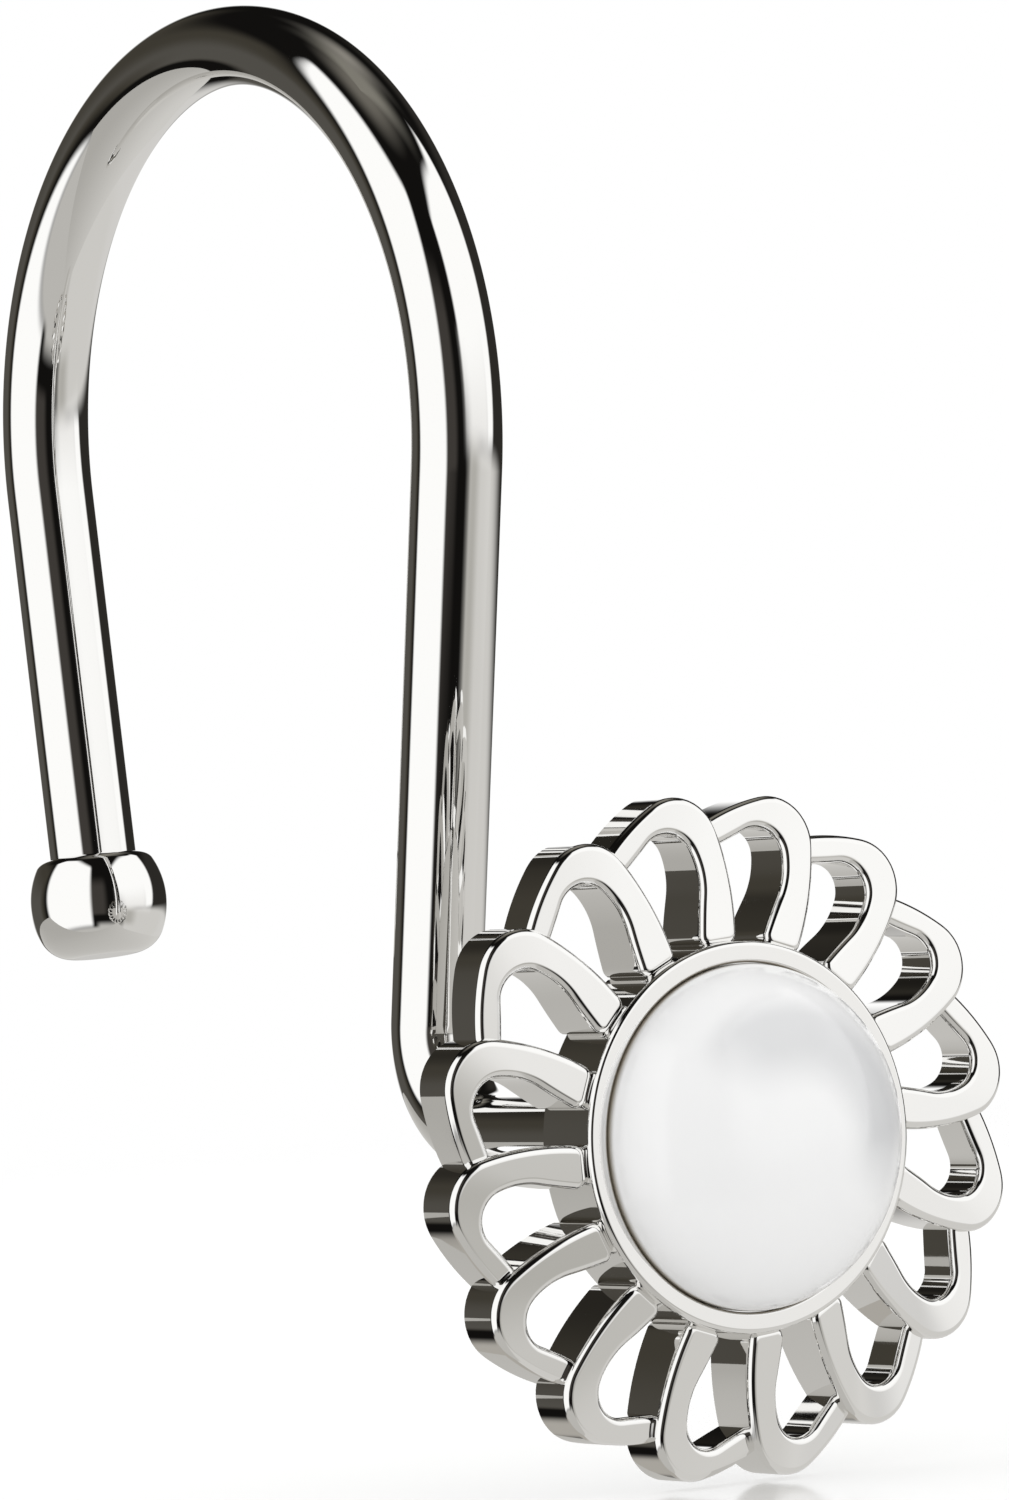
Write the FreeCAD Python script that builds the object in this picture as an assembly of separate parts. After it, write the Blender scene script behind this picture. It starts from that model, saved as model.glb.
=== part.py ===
import FreeCAD, Part
import math
import os

# Shower curtain hook, shown as it hangs on its rail.
# The hook lies in the plane x = 0, +Z is up and the flower faces -Y.
# The origin is the highest point inside the arch, where the rail carries the hook.
# Lengths are in millimetres and angles in degrees.

# Rod, an oval bar that is a little wider than it is deep
rod_depth = 5.0
rod_width = 5.76
rod_side_share = 0.86
arch_parts = 8
bend_parts = 4
arch_radius = 23.8
back_leg_lean = 6.5
back_leg_length = 26.42
front_leg_lean = 9.85
front_leg_length = 33.3
bend_radius = 6.1
run_length = 21.05

# Ball at the free end, a barrel with a bulged side and a rounder underside
ball_diameter = 8.83
ball_side_radius = 5.3
ball_above = 2.87
ball_below = 3.5
ball_shoulder = 0.4
ball_underside = 2.0

# Hub and bezel, one round boss with a shallow seat in its face
hub_diameter = 22.4
hub_depth = 4.65
bezel_land = 1.24
bezel_edge = 0.3
seat_edge = 0.2
seat_depth = 1.0

# Pearl, a low dome glued into the seat
pearl_clearance = 0.05
pearl_dome = 5.6
pearl_skirt = 0.9
pearl_rim_radius = 3.2

# Petals, bevelled crooks whose tips tuck under the next one
petal_count = 16
petal_reach = 19.75
petal_start_angle = 13.6
petal_drop = 0.65
petal_slope = 7.8
petal_fan = 3.0
petal_edge_share = 0.0526
petal_sink = 0.1
outer_heading = 72.6
inner_heading = 33.0

# Sizes worked out from the ones above
arch_centre = FreeCAD.Vector(0, 0, rod_depth / 2 - arch_radius)
hub_radius = hub_diameter / 2
seat_radius = hub_radius - bezel_land
pearl_radius = seat_radius - pearl_clearance
petal_length = petal_reach - hub_radius
petal_edge = petal_edge_share * petal_length
across = FreeCAD.Vector(1, 0, 0)
forward = FreeCAD.Vector(0, 0, 1)
overlap = 1.0


def in_plane(y, z):
    return FreeCAD.Vector(0, y, z)


def leg_direction(lean, side):
    # Both legs lean inwards as they go down; side is +1 at the back and -1 at the front
    angle = math.radians(lean)
    return in_plane(-side * math.sin(angle), -math.cos(angle))


def around(centre, radius, angle):
    # A point of a bend in the hook's plane, with the angle taken from +Y towards +Z
    return centre + in_plane(math.cos(math.radians(angle)), math.sin(math.radians(angle))) * radius


def bend(centre, radius, start, end, count):
    step = (end - start) / count
    return [arc(around(centre, radius, start + step * number),
                around(centre, radius, start + step * (number + 0.5)),
                around(centre, radius, start + step * (number + 1))) for number in range(count)]


def arc(start, middle, end):
    return Part.Arc(start, middle, end).toShape()


def line(start, end):
    return Part.LineSegment(start, end).toShape()


def oval_face(centre, wide, deep):
    # Four tangent arcs; wide and deep are the two half axes, as vectors
    longer, shorter = sorted((wide, deep), key=lambda half: half.Length, reverse=True)
    a = longer.Length
    b = shorter.Length
    end_radius = rod_side_share * b
    end_offset = a - end_radius
    flat_radius = (a * a + b * b - 2 * a * end_radius) / (2 * (b - end_radius))
    turn = math.atan2(flat_radius - b, end_offset)
    joint = longer * ((end_offset + end_radius * math.cos(turn)) / a)
    lift = shorter * (end_radius * math.sin(turn) / b)
    corners = [centre + joint + lift, centre - joint + lift, centre - joint - lift, centre + joint - lift]
    return Part.Face(Part.Wire([
        arc(corners[0], centre + shorter, corners[1]),
        arc(corners[1], centre - longer, corners[2]),
        arc(corners[2], centre - shorter, corners[3]),
        arc(corners[3], centre + longer, corners[0]),
    ]))


# Centre line of the rod, from the ball to the back of the hub
back_down = leg_direction(back_leg_lean, 1)
front_down = leg_direction(front_leg_lean, -1)
back_top = around(arch_centre, arch_radius, -back_leg_lean)
front_top = around(arch_centre, arch_radius, 180 + front_leg_lean)
ball_centre = back_top + back_down * back_leg_length
front_foot = front_top + front_down * front_leg_length
bend_inwards = in_plane(front_down.z, -front_down.y)
bend_centre = front_foot + bend_inwards * bend_radius
bend_end = bend_centre + in_plane(0, -bend_radius)
hub_back = bend_end + in_plane(-run_length, 0)


def make_rod():
    arch = bend(arch_centre, arch_radius, -back_leg_lean, 180 + front_leg_lean, arch_parts)
    foot = bend(bend_centre, bend_radius, front_leg_lean, -90, bend_parts)
    path = Part.Wire([line(ball_centre, back_top)] + arch + [line(front_top, front_foot)] + foot
                     + [line(bend_end, hub_back + in_plane(-overlap, 0))])
    deep = in_plane(-back_down.z, back_down.y) * (rod_depth / 2)
    section = oval_face(ball_centre, across * (rod_width / 2), deep)
    return path.makePipe(section)


def revolve(edges):
    return Part.Face(Part.Wire(edges)).revolve(FreeCAD.Vector(), forward, 360)


def edges_at(shape, height, radius):
    return [edge for edge in shape.Edges
            if edge.Closed and abs(edge.BoundBox.ZMax - height) < 1e-6
            and abs(edge.BoundBox.ZMin - height) < 1e-6
            and abs(edge.BoundBox.XMax - radius) < 1e-3]


def make_ball():
    # Built upright about the Z axis, then leaned with its leg
    radius = ball_diameter / 2
    side_centre = radius - ball_side_radius
    top = forward * ball_above
    bottom = forward * -ball_below
    top_rim = top + across * (side_centre + math.sqrt(ball_side_radius ** 2 - ball_above ** 2))
    bottom_rim = bottom + across * (side_centre + math.sqrt(ball_side_radius ** 2 - ball_below ** 2))
    ball = revolve([
        line(bottom, bottom_rim),
        arc(bottom_rim, across * radius, top_rim),
        line(top_rim, top),
        line(top, bottom),
    ])
    ball = ball.makeChamfer(ball_shoulder, edges_at(ball, ball_above, top_rim.x))
    ball = ball.makeFillet(ball_underside, edges_at(ball, -ball_below, bottom_rim.x))
    ball.Placement = FreeCAD.Placement(ball_centre, FreeCAD.Rotation(across, -back_leg_lean))
    return ball


# The flower is built about its own Z axis, with its back at z = 0 and its face up.
# A petal points along +Y there, so that x runs clockwise when the flower is seen from the front.


def place_flower(shape):
    shape.Placement = FreeCAD.Placement(hub_back, FreeCAD.Rotation(across, 90))
    return shape


def make_hub():
    boss = Part.makeCylinder(hub_radius, hub_depth)
    seat = Part.makeCylinder(seat_radius, seat_depth, FreeCAD.Vector(0, 0, hub_depth - seat_depth))
    hub = boss.cut(seat)
    hub = hub.makeChamfer(bezel_edge, edges_at(hub, hub_depth, hub_radius))
    return hub.makeChamfer(seat_edge, edges_at(hub, hub_depth, seat_radius))


def petal_point(along, turn):
    # along is the share of the way from the hub wall to the tip, and turn a share of one petal's angle
    radius = hub_radius + along * petal_length
    angle = math.radians(turn * 360 / petal_count)
    return FreeCAD.Vector(radius * math.sin(angle), radius * math.cos(angle), 0)


def flowing_arcs(start, heading, ends):
    # Each arc leaves in the direction in which the one before it arrived; heading is its angle
    edges = []
    for end in ends:
        chord = end - start
        half_turn = math.atan2(chord.y, chord.x) - math.radians(heading)
        half_turn = (half_turn + math.pi) % (2 * math.pi) - math.pi
        outwards = FreeCAD.Vector(chord.y, -chord.x, 0) * (math.tan(half_turn / 2) / 2)
        edges.append(arc(start, (start + end) / 2 + outwards, end))
        heading += math.degrees(2 * half_turn)
        start = end
    return edges


def petal_outline():
    root = -petal_sink / petal_length
    outer = [petal_point(root, 0.467), petal_point(0.732, 0.397), petal_point(0.987, -0.153),
             petal_point(0.785, -0.724)]
    inner = [petal_point(0.607, -0.677), petal_point(0.748, -0.274), petal_point(0.629, 0.098),
             petal_point(0.323, 0.084), petal_point(root, -0.113)]
    return Part.Wire(flowing_arcs(outer[0], outer_heading, outer[1:]) + [line(outer[-1], inner[0])]
                     + flowing_arcs(inner[0], inner_heading, inner[1:]) + [line(inner[-1], outer[0])])


def make_petal():
    blank = Part.Face(petal_outline()).extrude(forward * hub_depth)
    # The face drops towards the tip and is fanned, with its clockwise edge higher
    fall = math.tan(math.radians(petal_slope))
    rise = math.tan(math.radians(petal_fan))
    normal = FreeCAD.Vector(-rise, fall, 1)
    reach = 4 * petal_reach
    above = Part.makeBox(reach, reach, reach, FreeCAD.Vector(-reach / 2, -reach / 2, 0))
    face_root = FreeCAD.Vector(0, hub_radius, hub_depth - petal_drop)
    above.Placement = FreeCAD.Placement(face_root, FreeCAD.Rotation(forward, normal))
    petal = blank.cut(above)
    face_edges = [edge for edge in petal.Edges
                  if all(abs((point - face_root).dot(normal)) < 1e-4
                         for point in (edge.valueAt(edge.FirstParameter), edge.valueAt(edge.LastParameter),
                                       edge.valueAt((edge.FirstParameter + edge.LastParameter) / 2)))]
    return petal.makeChamfer(petal_edge, face_edges)


def make_petals():
    step = 360 / petal_count
    petal = make_petal()
    petals = []
    for number in range(petal_count):
        turned = petal.copy()
        turned.rotate(FreeCAD.Vector(), forward, -petal_start_angle - number * step)
        petals.append(turned)
    return petals


def make_casting():
    hub = place_flower(make_hub())
    petals = [place_flower(Part.Compound([petal])) for petal in make_petals()]
    body = make_rod().fuse([make_ball(), hub])
    body = body.fuse(petals)
    return body.removeSplitter().Solids[0]


def make_pearl():
    # A straight skirt stands in the seat, and two tangent arcs make the dome above it
    base = hub_depth - seat_depth
    shoulder = base + pearl_skirt
    rise = hub_depth + pearl_dome - shoulder
    rim_centre = pearl_radius - pearl_rim_radius
    crown_radius = (pearl_radius ** 2 - 2 * pearl_radius * pearl_rim_radius + rise ** 2) / (
        2 * (rise - pearl_rim_radius))
    turn = math.atan2(crown_radius - rise, rim_centre)

    def dome_point(centre, height, radius, angle):
        return FreeCAD.Vector(centre + radius * math.cos(angle), 0, height + radius * math.sin(angle))

    rim = FreeCAD.Vector(pearl_radius, 0, shoulder)
    joint = dome_point(rim_centre, shoulder, pearl_rim_radius, turn)
    crown = FreeCAD.Vector(0, 0, shoulder + rise)
    crown_centre = shoulder + rise - crown_radius
    edges = [
        line(FreeCAD.Vector(0, 0, base), FreeCAD.Vector(pearl_radius, 0, base)),
        line(FreeCAD.Vector(pearl_radius, 0, base), rim),
        arc(rim, dome_point(rim_centre, shoulder, pearl_rim_radius, turn / 2), joint),
        arc(joint, dome_point(0, crown_centre, crown_radius, (turn + math.pi / 2) / 2), crown),
        line(crown, FreeCAD.Vector(0, 0, base)),
    ]
    return place_flower(revolve(edges))


def export(name, shape):
    print(name, "box", shape.BoundBox)
    print(name, "valid", shape.isValid(), "solids", len(shape.Solids), "volume %.1f" % shape.Volume)
    shape.exportStep("parts/" + name + ".step")


os.makedirs("parts", exist_ok=True)
export("hook_casting", make_casting())
export("pearl_cabochon", make_pearl())
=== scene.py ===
import dataclasses
import math

import bpy
import numpy as np
from mathutils import Matrix, Vector


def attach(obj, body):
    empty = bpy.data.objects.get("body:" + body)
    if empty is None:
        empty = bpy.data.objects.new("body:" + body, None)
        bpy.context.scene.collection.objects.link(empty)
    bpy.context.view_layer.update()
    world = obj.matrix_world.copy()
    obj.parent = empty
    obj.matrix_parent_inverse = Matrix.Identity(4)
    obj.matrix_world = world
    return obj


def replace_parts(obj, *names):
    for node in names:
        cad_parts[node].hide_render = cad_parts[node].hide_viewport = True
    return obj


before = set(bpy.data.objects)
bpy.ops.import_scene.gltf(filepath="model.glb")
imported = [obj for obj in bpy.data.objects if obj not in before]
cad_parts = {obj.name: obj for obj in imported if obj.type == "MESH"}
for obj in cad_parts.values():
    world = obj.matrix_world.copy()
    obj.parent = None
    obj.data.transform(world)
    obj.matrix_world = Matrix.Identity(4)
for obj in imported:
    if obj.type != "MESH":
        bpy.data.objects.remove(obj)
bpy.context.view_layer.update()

# Lengths are in millimetres and angles in degrees. Blender's own unit is the metre.
metre = 1000.0

# The rod and its bends
rod_depth, rod_width = 5.0, 5.76
arch_radius = 23.8
back_leg_lean, back_leg_length = 6.5, 26.42
front_leg_lean, front_leg_length = 9.85, 33.3
bend_radius, run_length = 6.1, 21.05
run_into_hub = 1.0
arch_centre = np.array([0.0, 0.0, rod_depth / 2 - arch_radius])

# The ball
ball_radius, ball_side_radius = 8.83 / 2, 5.3
ball_above, ball_below = 2.87, 3.5
ball_shoulder, ball_underside = 0.8, 2.2
ball_side_centre = ball_radius - ball_side_radius

# The hub, its bezel and the pearl
hub_radius, hub_depth = 11.2, 4.65
bezel_land, bezel_edge = 1.24, 0.3
seat_edge, seat_depth = 0.2, 1.0
seat_radius = hub_radius - bezel_land
seat_height = hub_depth - seat_depth
pearl_gap = 0.05
pearl_radius, pearl_dome, pearl_skirt = seat_radius - pearl_gap, 5.6, 0.9

# The pearl's painted grey shade, which stands in for dim reflections, comes and goes between these radii,
# and only on the side given here.
# A painted brown shade line, standing in for the shadow in the seat's gap, fades out round the height of the
# bezel's face.
painted_shade_start, painted_shade_full, painted_shade_fading, painted_shade_end = 2.0, 5.5, 6.8, 8.5
painted_shade_side, painted_shade_side_start, painted_shade_side_full = (0.6, 0, 0.8), -1.0, 3.5
seam_shade_above, seam_shade_below = 0.5, 0.1

# The petals
petal_count, petal_reach, petal_start_angle = 16, 19.75, 13.6
petal_drop, petal_slope, petal_fan = 0.65, 7.8, 3.0
tip_slope, tip_fan, tip_drop = 4.0, 6.5, 0.44
petal_edge, petal_sink = 0.45, 0.1
corner_radius = 0.62
petal_length = petal_reach - hub_radius
petal_root = -petal_sink / petal_length

# Places on a petal's two sides: how far along its length, and how far round to the next petal.
# The outer side is drawn from the root and the inner side from the tip, each from a first heading.
outer_start, outer_heading = (petal_root, 0.467), 72.6
outer_ends = [(0.732, 0.397), (0.987, -0.153), (0.785, -0.724)]
inner_start, inner_heading = (0.607, -0.677), 33.0
inner_ends = [(0.748, -0.274), (0.629, 0.098), (0.323, 0.084), (petal_root, -0.113)]
# The share of the way round the crook where its face leaves the leg's plane and meets the tip's
face_turn_start, face_turn_end = 0.38, 0.72

# How finely the round forms are divided
rod_sweep, arch_steps, bend_steps = 64, 120, 40
ball_sweep, ball_underside_steps, ball_side_steps, ball_shoulder_steps = 96, 14, 18, 10
hub_sweep, bezel_edge_steps, seat_edge_steps = 192, 8, 6
pearl_sweep, dome_steps = 160, 48
crook_arc_steps, crook_corner_steps, crook_points = 14, 6, 84
petal_edge_steps, petal_face_steps = 7, 4

# Points that agree to this many decimals of a millimetre become one
merge_decimals = 4

# The floor and the card under it
floor_gap, floor_reach, floor_middle = 0.15, 600.0, -30.0
floor_rings, floor_sweep = 12, 64
floor_fade_start, floor_fade_end = 160.0, 500.0
card_gap, card_reach, card_middle = 0.4, 220.0, -50.0
card_left, card_right, card_steps = -215, -140, 12
card_shade_start, card_shade_end = -70.0, 80.0

# The camera
camera_azimuth, camera_elevation, camera_roll = -34.18, -0.4107, -3.425
camera_distance, camera_lens, sensor_width = 494.6, 190.27, 36
aim_point = (0, 1.9265, -20.458)
aim_right, aim_up = 16.13, -21.7
clip_start, clip_end = 10.0, 20000.0


# Meshes
def link_object(name, points, faces):
    mesh = bpy.data.meshes.new(name)
    mesh.from_pydata((np.array(points) / metre).tolist(), [], faces)
    piece = bpy.data.objects.new(name, mesh)
    bpy.context.scene.collection.objects.link(piece)
    return piece


# A patch is a grid of points with a normal at each; a cap is one flat outline with one normal.
class Shell:
    def __init__(self):
        self.points = []
        self.normals = []
        self.faces = []
        self.count = 0

    def add(self, points, normals):
        first = self.count
        self.points.append(points.reshape(-1, 3))
        self.normals.append(normals.reshape(-1, 3))
        self.count += len(self.points[-1])
        return first

    def patch(self, points, normals):
        rows, columns = points.shape[:2]
        first = self.add(points, normals)
        for row in range(rows - 1):
            for column in range(columns - 1):
                corner = first + row * columns + column
                self.faces.append([corner, corner + 1, corner + columns + 1, corner + columns])

    def cap(self, outline, normal):
        first = self.add(outline, np.tile(normal, (len(outline), 1)))
        self.faces.append(list(range(first, first + len(outline))))

    def build(self, name):
        # Points in the same place are joined, and each face is turned to look along its normals
        points = np.concatenate(self.points)
        normals = np.concatenate(self.normals)
        merged, where = np.unique(np.round(points, merge_decimals), axis=0,
                                  return_inverse=True)
        where = where.reshape(-1)
        faces, corner_normals = [], []
        for face in self.faces:
            kept = [c for n, c in enumerate(face) if where[c] != where[face[n - 1]]]
            if len(kept) < 3:
                continue
            ring = points[kept]
            facing = np.cross(ring, np.roll(ring, -1, axis=0)).sum(axis=0)
            if facing @ normals[kept].sum(axis=0) < 0:
                kept.reverse()
            faces.append([int(where[c]) for c in kept])
            corner_normals.extend(Vector(normals[c]) for c in kept)
        piece = link_object(name, merged, faces)
        piece.data.polygons.foreach_set("use_smooth", [True] * len(faces))
        piece.data.normals_split_custom_set(corner_normals)
        piece.data.update()
        return piece


def unit(vectors):
    return vectors / np.linalg.norm(vectors, axis=-1, keepdims=True)


def circle(sweep):
    # The cosines and sines round a full circle, which ends where it began
    angles = np.linspace(0, 2 * math.pi, sweep + 1)
    angles[-1] = 0
    return np.cos(angles), np.sin(angles)


def revolve(shell, profile, place, sweep):
    # Each stretch of the profile is a list of (radius, height, normal outwards, normal up)
    cosines, sines = circle(sweep)
    for stretch in profile:
        stretch = np.array(stretch)
        radius, height, outwards, upwards = (stretch[:, [n]] for n in range(4))
        points = np.stack([radius * cosines, radius * sines, height + 0 * cosines], axis=-1)
        normals = np.stack([outwards * cosines, outwards * sines, upwards + 0 * cosines], axis=-1)
        shell.patch(place(points), place(normals, False))


def arc_profile(centre_radius, centre_height, radius, start, end, steps):
    return [(centre_radius + radius * math.cos(a), centre_height + radius * math.sin(a),
             math.cos(a), math.sin(a))
            for a in np.radians(np.linspace(start, end, steps + 1))]


def flat_profile(start, end, outwards, upwards):
    return [(*start, outwards, upwards), (*end, outwards, upwards)]


# The rod's centre line
def in_plane(y, z):
    return np.array([0.0, y, z])


def around(centre, radius, angle):
    return centre + in_plane(math.cos(math.radians(angle)), math.sin(math.radians(angle))) * radius


def leg_direction(lean, side):
    return in_plane(-side * math.sin(math.radians(lean)), -math.cos(math.radians(lean)))


back_down = leg_direction(back_leg_lean, 1)
front_down = leg_direction(front_leg_lean, -1)
ball_centre = around(arch_centre, arch_radius, -back_leg_lean) + back_down * back_leg_length
front_top = around(arch_centre, arch_radius, 180 + front_leg_lean)
front_foot = front_top + front_down * front_leg_length
bend_centre = front_foot + in_plane(front_down[2], -front_down[1]) * bend_radius
hub_back = bend_centre + in_plane(-run_length, -bend_radius)
flower_foot = hub_back[2] - petal_reach


def make_rod(shell):
    # Each station is a point of the centre line and the direction of the section's depth
    origin = in_plane(0, 0)
    stations = [(ball_centre, around(origin, 1, -back_leg_lean))]
    for angle in np.linspace(-back_leg_lean, 180 + front_leg_lean, arch_steps + 1):
        stations.append((around(arch_centre, arch_radius, angle), around(origin, 1, angle)))
    for angle in np.linspace(front_leg_lean, -90, bend_steps + 1):
        stations.append((around(bend_centre, bend_radius, angle), around(origin, -1, angle)))
    stations.append((hub_back + in_plane(-run_into_hub, 0), in_plane(0, 1)))
    cosines, sines = circle(rod_sweep)
    across = np.array([1.0, 0, 0])
    points, normals = [], []
    for centre, deep in stations:
        points.append(centre + np.outer(cosines, across) * rod_width / 2
                      + np.outer(sines, deep) * rod_depth / 2)
        normals.append(unit(np.outer(cosines, across) / rod_width + np.outer(sines, deep) / rod_depth))
    shell.patch(np.array(points), np.array(normals))
    shell.cap(points[0][:-1], back_down)
    shell.cap(points[-1][:-1], in_plane(-1, 0))


def ball_fillet(height, radius):
    # Where the fillet between the ball's bulged side and a flat at this height has its centre,
    # and the angle at which it meets the side
    centre_height = height - radius
    centre = ball_side_centre + math.sqrt((ball_side_radius - radius) ** 2 - centre_height ** 2)
    return centre, centre_height, math.degrees(math.atan2(centre_height, centre - ball_side_centre))


def make_ball(shell):
    top, top_height, top_angle = ball_fillet(ball_above, ball_shoulder)
    low, low_height, low_angle = ball_fillet(ball_below, ball_underside)
    profile = [
        flat_profile((0, -ball_below), (low, -ball_below), 0, -1),
        arc_profile(low, -low_height, ball_underside, -90, -low_angle, ball_underside_steps),
        arc_profile(ball_side_centre, 0, ball_side_radius, -low_angle, top_angle, ball_side_steps),
        arc_profile(top, top_height, ball_shoulder, top_angle, 90, ball_shoulder_steps),
        flat_profile((top, ball_above), (0, ball_above), 0, 1),
    ]
    lean = math.radians(back_leg_lean)

    def place(vectors, shift=True):
        x, y, z = vectors[..., 0], vectors[..., 1], vectors[..., 2]
        turned = np.stack([x, y * math.cos(lean) + z * math.sin(lean),
                           z * math.cos(lean) - y * math.sin(lean)], axis=-1)
        return turned + ball_centre if shift else turned

    revolve(shell, profile, place, ball_sweep)


# The flower is built with its back at height 0, its face up and a petal along +Y.
# x runs clockwise when the flower is seen from the front.
def place_flower(vectors, shift=True):
    turned = np.stack([vectors[..., 0], -vectors[..., 2], vectors[..., 1]], axis=-1)
    return turned + hub_back if shift else turned


def make_hub(shell):
    rim, rim_height = hub_radius - bezel_edge, hub_depth - bezel_edge
    lip, lip_height = seat_radius + seat_edge, hub_depth - seat_edge
    profile = [
        flat_profile((0, 0), (hub_radius, 0), 0, -1),
        flat_profile((hub_radius, 0), (hub_radius, rim_height), 1, 0),
        arc_profile(rim, rim_height, bezel_edge, 0, 90, bezel_edge_steps),
        flat_profile((rim, hub_depth), (lip, hub_depth), 0, 1),
        arc_profile(lip, lip_height, seat_edge, 90, 180, seat_edge_steps),
        flat_profile((seat_radius, lip_height), (seat_radius, seat_height), -1, 0),
        flat_profile((seat_radius, seat_height), (0, seat_height), 0, 1),
    ]
    revolve(shell, profile, place_flower, hub_sweep)


def petal_point(along, turn):
    radius = hub_radius + along * petal_length
    angle = math.radians(turn * 360 / petal_count)
    return np.array([radius * math.sin(angle), radius * math.cos(angle)])


def flowing_arcs(start, heading, ends):
    # Each arc leaves in the direction in which the one before it arrived
    start = petal_point(*start)
    points = [start]
    heading = math.radians(heading)
    for end in ends:
        end = petal_point(*end)
        chord = end - start
        half = (math.atan2(chord[1], chord[0]) - heading + math.pi) % (2 * math.pi) - math.pi
        reach = np.linalg.norm(chord)
        for n in range(1, crook_arc_steps + 1):
            share = n / crook_arc_steps
            length = reach * math.sin(half * share) / math.sin(half)
            direction = heading + half * share
            points.append(start + length * np.array([math.cos(direction), math.sin(direction)]))
        heading += 2 * half
        start = end
    return points


def trimmed(points, distance):
    # The polyline without its first stretch of this length
    points = [np.array(p) for p in points]
    while len(points) > 2 and np.linalg.norm(points[1] - points[0]) <= distance:
        distance -= np.linalg.norm(points[1] - points[0])
        points.pop(0)
    step = points[1] - points[0]
    points[0] = points[0] + step * (distance / np.linalg.norm(step))
    return points


def half_corner(first, corner, second):
    return math.acos(float(unit(first - corner) @ unit(second - corner))) / 2


def corner_curve(before, corner, after):
    # A circular arc that touches both sides of the corner
    pull = 2 * math.sin(half_corner(before, corner, after))
    curve = []
    for share in np.linspace(0, 1, crook_corner_steps + 1):
        weights = (1 - share) ** 2, share * (1 - share) * pull, share ** 2
        curve.append((weights[0] * before + weights[1] * corner + weights[2] * after) / sum(weights))
    return curve


def corner_cut(side, corner, along):
    # How far from the corner its arc begins
    return corner_radius / math.tan(half_corner(side, corner, corner + along))


def spaced(points, count):
    # The same line with its points at even distances
    points = np.array(points)
    reach = np.concatenate([[0], np.cumsum(np.linalg.norm(np.diff(points, axis=0), axis=1))])
    at = np.linspace(0, reach[-1], count)
    return np.stack([np.interp(at, reach, points[:, n]) for n in (0, 1)], axis=-1)


def crook_sides():
    # Two lines from the middle of the root to the middle of the tip, with small arcs at their corners
    outer = flowing_arcs(outer_start, outer_heading, outer_ends)
    inner = flowing_arcs(inner_start, inner_heading, inner_ends)[::-1]
    tip = unit(inner[-1] - outer[-1])
    root = unit(outer[0] - inner[0])
    middle_root, middle_tip = (outer[0] + inner[0]) / 2, (outer[-1] + inner[-1]) / 2
    sides = []
    for line, sign in ((outer, 1), (inner, -1)):
        root_cut = corner_cut(line[2], line[0], -root * sign)
        tip_cut = corner_cut(line[-3], line[-1], tip * sign)
        middle = trimmed(trimmed(line, root_cut)[::-1], tip_cut)[::-1]
        start = corner_curve(line[0] - root * sign * root_cut, line[0], middle[0])
        end = corner_curve(middle[-1], line[-1], line[-1] + tip * sign * tip_cut)
        sides.append(spaced([middle_root] + start + middle[1:-1] + end + [middle_tip], crook_points))
    return sides


def face_plane(slope, fan, drop):
    # The heights' constant, their rise clockwise and fall outwards, and the normal
    rise, fall = math.tan(math.radians(fan)), math.tan(math.radians(slope))
    return np.array([hub_depth - drop, rise, -fall]), unit(np.array([-rise, fall, 1.0]))


leg_plane, leg_normal = face_plane(petal_slope, petal_fan, petal_drop)
tip_plane, tip_normal = face_plane(tip_slope, tip_fan, petal_drop + tip_drop)


def face_at(points, along):
    # The face turns from the leg's plane to the tip's plane round the crook
    share = np.clip((along - face_turn_start) / (face_turn_end - face_turn_start), 0, 1)
    turned = (share * share * (3 - 2 * share))[:, None]
    plane = (1 - turned) * leg_plane + turned * tip_plane
    height = plane[:, 0] + plane[:, 1] * points[:, 0] + plane[:, 2] * (points[:, 1] - hub_radius)
    return height, unit((1 - turned) * leg_normal + turned * tip_normal)


def wall_normals(outline):
    # Outwards from a closed outline, level, one for each point
    before, following = np.roll(outline, 1, axis=0), np.roll(outline, -1, axis=0)
    tangent = unit(unit(following - outline) + unit(outline - before))
    area = (outline[:, 0] * following[:, 1] - outline[:, 1] * following[:, 0]).sum()
    side = np.stack([tangent[:, 1], -tangent[:, 0]], axis=-1) * (1 if area > 0 else -1)
    return np.concatenate([side, np.zeros((len(side), 1))], axis=1)


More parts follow.
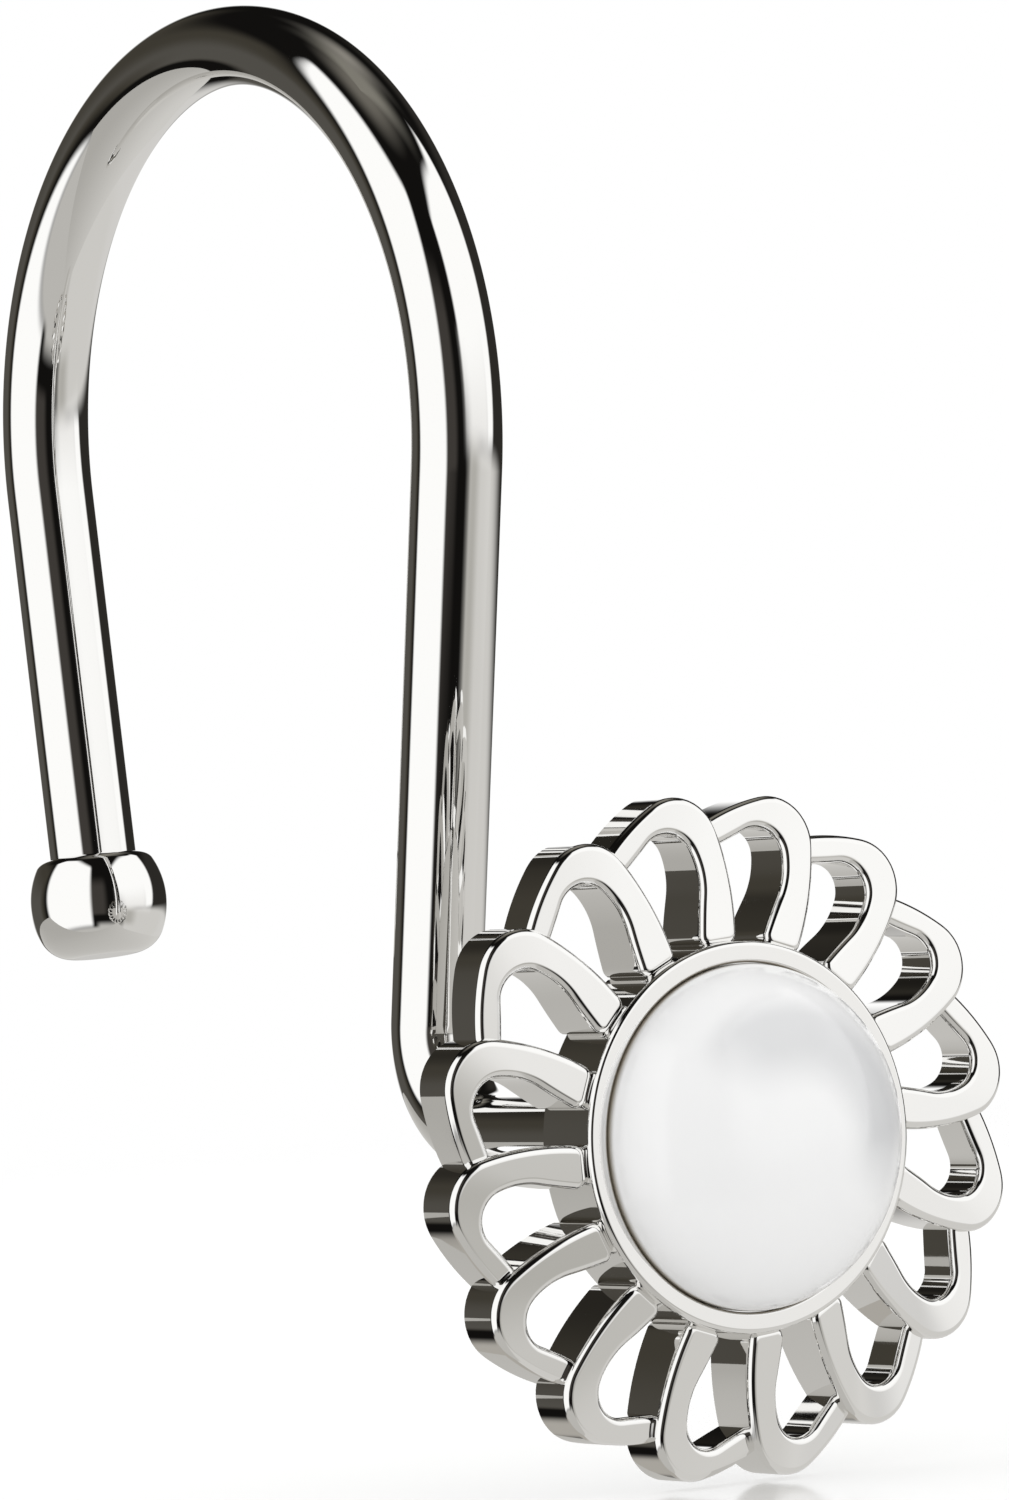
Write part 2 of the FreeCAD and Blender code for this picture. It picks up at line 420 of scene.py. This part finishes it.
def make_petal(shell, sides, angle):
    outer, inner = sides
    count = len(outer)
    outline = np.concatenate([outer, inner[-2:0:-1]])
    share = np.concatenate([np.arange(count), np.arange(count - 2, 0, -1)]) / (count - 1)
    walls = wall_normals(outline)

    # A ball of the edge's radius rolls along the inside of the wall, under the face
    inside = outline - walls[:, :2] * petal_edge
    height, face = face_at(inside, share)
    centres = np.concatenate([inside, (height - petal_edge / face[:, 2])[:, None]], axis=1)
    back = np.concatenate([outline, np.zeros((len(outline), 1))], axis=1)
    rows, normals = [back], [walls]
    total = np.arccos(np.clip((walls * face).sum(axis=1), -1, 1))[:, None]
    for step in np.linspace(0, 1, petal_edge_steps + 1):
        normal = (np.sin((1 - step) * total) * walls + np.sin(step * total) * face) / np.sin(total)
        rows.append(centres + normal * petal_edge)
        normals.append(normal)

    # The face spans from the outer side's rounded edge to the inner side's
    rim = rows[-1]
    near, far = rim[:count], np.concatenate([rim[:1], rim[:count - 2:-1]])
    rungs, rung_normals = [near], [face[:count]]
    for step in np.arange(1, petal_face_steps) / petal_face_steps:
        points = near + (far - near) * step
        height, normal = face_at(points, share[:count])
        rungs.append(np.concatenate([points[:, :2], height[:, None]], axis=1))
        rung_normals.append(normal)
    rungs.append(far)
    rung_normals.append(face[:count])
    turn = math.radians(angle)

    def spin(vectors):
        x, y = vectors[..., 0], vectors[..., 1]
        return np.stack([x * math.cos(turn) + y * math.sin(turn),
                         y * math.cos(turn) - x * math.sin(turn), vectors[..., 2]], axis=-1)

    def closed(lines):
        lines = np.array(lines)
        return spin(np.concatenate([lines, lines[:, :1]], axis=1))

    shell.patch(place_flower(closed(rows)), place_flower(closed(normals), False))
    shell.patch(place_flower(spin(np.array(rungs))), place_flower(spin(np.array(rung_normals)), False))
    shell.cap(place_flower(spin(back)), place_flower(np.array([0, 0, -1.0]), False))


def make_pearl(shell):
    # A straight skirt stands in the seat, and half an ellipse makes the dome above it
    shoulder = seat_height + pearl_skirt
    rise = hub_depth + pearl_dome - shoulder
    dome = []
    for angle in np.radians(np.linspace(0, 90, dome_steps + 1)):
        out, up = math.cos(angle) / pearl_radius, math.sin(angle) / rise
        size = math.hypot(out, up)
        dome.append((pearl_radius * math.cos(angle), shoulder + rise * math.sin(angle),
                     out / size, up / size))
    profile = [
        flat_profile((0, seat_height), (pearl_radius, seat_height), 0, -1),
        flat_profile((pearl_radius, seat_height), (pearl_radius, shoulder), 1, 0),
        dome,
    ]
    revolve(shell, profile, place_flower, pearl_sweep)


# Shader nodes
def add_node(tree, kind, **settings):
    node = tree.nodes.new("ShaderNode" + kind)
    for name, value in settings.items():
        setattr(node, name, value)
    return node


def feed(tree, socket, value):
    # A socket takes another node's output or a plain value
    if hasattr(value, "is_output"):
        tree.links.new(value, socket)
    else:
        socket.default_value = value


def math_node(tree, operation, *values):
    node = add_node(tree, "Math", operation=operation)
    for socket, value in zip(node.inputs, values):
        feed(tree, socket, value)
    return node.outputs["Value"]


def vector_node(tree, operation, *values):
    node = add_node(tree, "VectorMath", operation=operation)
    for socket, value in zip(node.inputs, values):
        feed(tree, socket, value)
    return node.outputs["Value" if operation in ("LENGTH", "DOT_PRODUCT") else "Vector"]


def mixed(tree, factor, first, second):
    # Each colour is another node's output or a plain red, green and blue
    node = add_node(tree, "Mix", data_type="RGBA")
    feed(tree, node.inputs["Factor"], factor)
    for name, colour in (("A", first), ("B", second)):
        feed(tree, node.inputs[name], colour if hasattr(colour, "is_output") else (*colour, 1))
    return node.outputs["Result"]


def spread(tree, value, low, high):
    # From 0 and 1 to these two values
    node = add_node(tree, "MapRange")
    node.inputs["To Min"].default_value = low
    node.inputs["To Max"].default_value = high
    feed(tree, node.inputs["Value"], value)
    return node.outputs["Result"]


def band(tree, value, start, end):
    # From 0 at the start to 1 at the end, smoothly, and the start may be the higher of the two
    node = add_node(tree, "MapRange", interpolation_type="SMOOTHSTEP")
    node.inputs["From Min"].default_value = start
    node.inputs["From Max"].default_value = end
    feed(tree, node.inputs["Value"], value)
    return node.outputs["Result"]


def smooth_ramp(tree, value, edge, soft):
    # From 0 to 1 across the edge; a negative soft turns it round
    return band(tree, math_node(tree, "SUBTRACT", value, edge), -soft, soft)


def object_place(tree):
    # The place on the object in millimetres
    place = add_node(tree, "TexCoord").outputs["Object"]
    return vector_node(tree, "MULTIPLY", place, (metre, metre, metre))


def split(tree, vector):
    node = add_node(tree, "SeparateXYZ")
    feed(tree, node.inputs["Vector"], vector)
    return (node.outputs[axis] for axis in "XYZ")


# Materials
def new_material(name, kind="BsdfPrincipled"):
    material = bpy.data.materials.new(name)
    material.use_nodes = True
    tree = material.node_tree
    tree.nodes.clear()
    output = add_node(tree, "OutputMaterial")
    shader = add_node(tree, kind)
    tree.links.new(shader.outputs[0], output.inputs["Surface"])
    return material, tree, shader


def unevenness_group():
    # A faint cloudiness from 0 to 1, with about as many clouds to the metre as the scale
    group = bpy.data.node_groups.new("fine_unevenness", "ShaderNodeTree")
    group.interface.new_socket("Scale", in_out="INPUT", socket_type="NodeSocketFloat")
    group.interface.new_socket("Value", in_out="OUTPUT", socket_type="NodeSocketFloat")
    inputs = group.nodes.new("NodeGroupInput")
    outputs = group.nodes.new("NodeGroupOutput")
    noise = add_node(group, "TexNoise")
    noise.inputs["Detail"].default_value = 3
    place = add_node(group, "TexCoord").outputs["Object"]
    group.links.new(place, noise.inputs["Vector"])
    group.links.new(inputs.outputs["Scale"], noise.inputs["Scale"])
    group.links.new(noise.outputs["Fac"], outputs.inputs["Value"])
    return group


unevenness = unevenness_group()


def use_unevenness(tree, scale):
    node = add_node(tree, "Group", node_tree=unevenness)
    node.inputs["Scale"].default_value = scale
    return node.outputs["Value"]


def plating():
    material, tree, shader = new_material("bright_plating")
    cloud = use_unevenness(tree, 90)
    feed(tree, shader.inputs["Base Color"], mixed(tree, cloud, (0.93, 0.925, 0.915), (0.91, 0.905, 0.895)))
    feed(tree, shader.inputs["Roughness"], spread(tree, cloud, 0.02, 0.035))
    shader.inputs["Metallic"].default_value = 1
    return material


def pearl_gloss():
    material, tree, shader = new_material("pearl_gloss")
    cloud = use_unevenness(tree, 120)
    place = object_place(tree)
    from_axis = vector_node(tree, "MULTIPLY_ADD", place, (1, 0, 1), (0, 0, -float(hub_back[2])))

    # A painted grey shade in a ring round the heart of the pearl, on the upper right side, standing in for
    # the dim reflections there
    radius = vector_node(tree, "LENGTH", from_axis)
    ring = math_node(tree, "MULTIPLY", band(tree, radius, painted_shade_start, painted_shade_full),
                     band(tree, radius, painted_shade_end, painted_shade_fading))
    sideways = vector_node(tree, "DOT_PRODUCT", from_axis, painted_shade_side)
    upper_right = band(tree, sideways, painted_shade_side_start, painted_shade_side_full)
    painted_shade = math_node(tree, "MULTIPLY", math_node(tree, "MULTIPLY", ring, upper_right),
                      spread(tree, cloud, 0.6, 1))
    # The pearl's white dims to this painted grey shade inside the ring
    painted_shade_colour = mixed(tree, painted_shade, (1, 1, 1), (0.72, 0.725, 0.735))

    # A painted brown shade line at its foot, standing in for the shadow in the gap of the seat
    _, depth, _ = split(tree, place)
    face = float(hub_back[1] - hub_depth)
    seam_shade = band(tree, depth, face - seam_shade_above, face + seam_shade_below)
    feed(tree, shader.inputs["Base Color"], mixed(tree, seam_shade, painted_shade_colour, (0.30, 0.26, 0.20)))
    feed(tree, shader.inputs["Roughness"], spread(tree, cloud, 0.3, 0.36))
    shader.inputs["Specular IOR Level"].default_value = 0.1
    shader.inputs["Coat Weight"].default_value = 1
    shader.inputs["Coat Roughness"].default_value = 0.11
    return material


# The dressed pieces
hook_shell = Shell()
make_rod(hook_shell)
make_ball(hook_shell)
make_hub(hook_shell)
crook = crook_sides()
for number in range(petal_count):
    make_petal(hook_shell, crook, petal_start_angle + number * 360 / petal_count)
hook = hook_shell.build("plated_hook")
hook.data.materials.append(plating())
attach(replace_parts(hook, "hook_casting"), "root")

pearl_shell = Shell()
make_pearl(pearl_shell)
pearl = pearl_shell.build("glossy_pearl")
pearl.data.materials.append(pearl_gloss())
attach(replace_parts(pearl, "pearl_cabochon"), "root")


# The floor, a pale round sheet that fades into the white ground
def make_floor():
    level = float(flower_foot - floor_gap)
    points = [(0.0, floor_middle, level)]
    for ring in range(1, floor_rings + 1):
        radius = floor_reach * (ring / floor_rings) ** 2
        for n in range(floor_sweep):
            angle = 2 * math.pi * n / floor_sweep
            points.append((radius * math.cos(angle), radius * math.sin(angle) + floor_middle, level))
    faces = []
    for n in range(floor_sweep):
        following = (n + 1) % floor_sweep
        faces.append((0, 1 + n, 1 + following))
        for ring in range(1, floor_rings):
            inner, outer = 1 + (ring - 1) * floor_sweep, 1 + ring * floor_sweep
            faces.append((inner + n, outer + n, outer + following, inner + following))
    floor = link_object("floor", points, faces)

    material, tree, shader = new_material("pale_floor")
    cloud = use_unevenness(tree, 3)
    feed(tree, shader.inputs["Base Color"], mixed(tree, cloud, (0.975, 0.975, 0.975), (0.985, 0.985, 0.985)))
    shader.inputs["Roughness"].default_value = 0.12
    shader.inputs["Specular IOR Level"].default_value = 0.6
    from_origin = vector_node(tree, "LENGTH", object_place(tree))
    feed(tree, shader.inputs["Alpha"], band(tree, from_origin, floor_fade_end, floor_fade_start))
    floor.data.materials.append(material)
    floor.visible_glossy = False


make_floor()


# A pale card just under the floor behind the hook, which shows only in the plating
def make_card():
    level = float(flower_foot - card_gap)
    points = [(0.0, card_middle, level)]
    for azimuth in np.radians(np.linspace(card_left, card_right, card_steps + 1)):
        points.append((card_reach * math.sin(azimuth), card_middle - card_reach * math.cos(azimuth), level))
    card = link_object("card", points, [tuple(range(len(points)))])

    material, tree, glow = new_material("pale_card", "Emission")
    rightwards, _, _ = split(tree, object_place(tree))
    shade = band(tree, rightwards, card_shade_start, card_shade_end)
    feed(tree, glow.inputs["Color"], mixed(tree, shade, (0.43, 0.42, 0.395), (0.64, 0.63, 0.605)))
    card.data.materials.append(material)
    card.visible_camera = False
    card.visible_diffuse = False
    card.visible_shadow = False


make_card()


# The camera stands in front, to the left and level with the hook
def make_camera():
    azimuth, elevation, roll = (math.radians(v) for v in (camera_azimuth, camera_elevation, camera_roll))
    back = Vector((math.sin(azimuth) * math.cos(elevation), -math.cos(azimuth) * math.cos(elevation),
                   math.sin(elevation)))
    level_right = Vector((math.cos(azimuth), math.sin(azimuth), 0))
    level_up = back.cross(level_right)
    right = math.cos(roll) * level_right + math.sin(roll) * level_up
    up = math.cos(roll) * level_up - math.sin(roll) * level_right
    aim = Vector(aim_point) + aim_right * level_right + aim_up * level_up
    place = (aim + camera_distance * back) / metre
    lens = bpy.data.cameras.new("camera")
    lens.lens = camera_lens
    lens.sensor_width = sensor_width
    lens.clip_start = clip_start / metre
    lens.clip_end = clip_end / metre
    camera = bpy.data.objects.new("camera", lens)
    camera.matrix_world = Matrix((
        (right.x, up.x, back.x, place.x),
        (right.y, up.y, back.y, place.y),
        (right.z, up.z, back.z, place.z),
        (0, 0, 0, 1)))
    bpy.context.scene.collection.objects.link(camera)
    bpy.context.scene.camera = camera


make_camera()


# The studio is painted on the world as soft-edged panels in a dark room, each over the ones before.
# Azimuths run from -Y towards +X, so 90 is the hook's right side, and elevations from the horizon.
@dataclasses.dataclass
class Panel:
    # Its edges, how soft its sides, its low and its high edge are, and its tone.
    # A lean moves a side for each degree up, a slope lifts an edge for each degree to the right,
    # and the bow is how far the high edge drops at both ends.
    left: float
    right: float
    low: float
    high: float
    soft: tuple
    tone: tuple
    left_lean: float = 0
    right_lean: float = 0
    low_slope: float = 0
    high_slope: float = 0
    bow: float = 0


room_tone = (0.006, 0.0055, 0.005)
panel_tone = (1.06, 1.06, 1.05)
ground_tone = (1.08, 1.08, 1.075)
panels = [
    # The ceiling, paler over the right side
    Panel(-180, 180, 76, 120, (1, 11, 9), (0.15, 0.14, 0.12)),
    Panel(60, 164, 66, 120, (23, 12, 9), (0.22, 0.21, 0.18)),
    Panel(112, 143, 52, 70, (18, 10, 9), (0.27, 0.255, 0.225)),
    # Dim walls in front, at the right and behind
    Panel(-52, -19, -15, 31, (6, 3, 10), (0.05, 0.045, 0.04)),
    Panel(71, 133, -20, 32, (8, 10, 8), (0.026, 0.024, 0.021)),
    Panel(-200, -136, -17, 33, (6, 3, 8), (0.05, 0.045, 0.035)),
    Panel(-220, -144, -17, 12, (5, 3, 12), (0.085, 0.08, 0.07)),
    # The floor, which reaches further up on the right
    Panel(-180, 180, -120, -33, (1, 1, 3), (0.51, 0.50, 0.475)),
    Panel(-215, -134, -120, -30, (4, 1, 4), (0.42, 0.40, 0.365)),
    Panel(-34, 17, -120, -28, (6, 1, 5), (0.51, 0.50, 0.475)),
    Panel(13, 138, -120, -6.5, (4, 1, 3), (0.64, 0.63, 0.605), high_slope=0.05),
    Panel(10, 32, -27, -4, (10, 5, 2), (0.45, 0.44, 0.41)),
    Panel(101, 154, -120, -8, (8, 1, 3.5), (0.66, 0.65, 0.63)),
    # The pale sweep under the right panels
    Panel(6.5, 62, -8, 20, (13, 5.5, 2.5), (0.84, 0.83, 0.81)),
    # The soft white panels: a large one on the left and two side by side on the right
    Panel(-127, -44, -31, 59, (4, 5, 3.5), panel_tone, left_lean=-0.08, high_slope=-0.06, bow=4),
    Panel(2, 68, 2, 56, (3, 18.5, 3), panel_tone, left_lean=0.03, right_lean=0.1, high_slope=0.03, bow=7),
    Panel(56, 72, -5, 50, (3, 2.5, 3), panel_tone, left_lean=0.1, right_lean=0.36, low_slope=0.05),
    # The white ground behind the hook
    Panel(134, 171, -5, 19, (5, 3.5, 5), ground_tone, bow=6),
]


def panel_mask(tree, azimuth, elevation, panel):
    side_soft, low_soft, high_soft = panel.soft
    width = panel.right - panel.left
    middle = (panel.left + panel.right) / 2
    shifted = math_node(tree, "WRAP", azimuth, middle + 180, middle - 180)
    from_middle = math_node(tree, "SUBTRACT", shifted, middle)
    low_edge = math_node(tree, "MULTIPLY_ADD", from_middle, panel.low_slope, panel.low)
    squared = math_node(tree, "MULTIPLY", from_middle, from_middle)
    bowed = math_node(tree, "MULTIPLY_ADD", squared, -4 * panel.bow / width ** 2, panel.high)
    high_edge = math_node(tree, "MULTIPLY_ADD", from_middle, panel.high_slope, bowed)
    mask = math_node(tree, "MULTIPLY", smooth_ramp(tree, elevation, low_edge, low_soft),
                     smooth_ramp(tree, elevation, high_edge, -high_soft))
    if width >= 360:
        return mask
    left_edge = math_node(tree, "MULTIPLY_ADD", elevation, panel.left_lean, panel.left)
    right_edge = math_node(tree, "MULTIPLY_ADD", elevation, panel.right_lean, panel.right)
    across = math_node(tree, "MULTIPLY", smooth_ramp(tree, shifted, left_edge, side_soft),
                       smooth_ramp(tree, shifted, right_edge, -side_soft))
    return math_node(tree, "MULTIPLY", across, mask)


def make_world():
    world = bpy.data.worlds.new("studio")
    world.use_nodes = True
    bpy.context.scene.world = world
    tree = world.node_tree
    tree.nodes.clear()
    output = add_node(tree, "OutputWorld")
    background = add_node(tree, "Background")
    tree.links.new(background.outputs["Background"], output.inputs["Surface"])
    x, y, z = split(tree, add_node(tree, "TexCoord").outputs["Generated"])
    forwards = math_node(tree, "MULTIPLY", y, -1)
    azimuth = math_node(tree, "DEGREES", math_node(tree, "ARCTAN2", x, forwards))
    elevation = math_node(tree, "DEGREES", math_node(tree, "ARCSINE", z))
    colour = room_tone
    for panel in panels:
        colour = mixed(tree, panel_mask(tree, azimuth, elevation, panel), colour, panel.tone)
    # Camera rays see plain white, and matt surfaces are lit evenly
    path = add_node(tree, "LightPath")
    plain = math_node(tree, "MAXIMUM", path.outputs["Is Camera Ray"], path.outputs["Is Diffuse Ray"])
    feed(tree, background.inputs["Color"], mixed(tree, plain, colour, (1, 1, 1)))


make_world()
bpy.context.scene.view_settings.view_transform = "Standard"
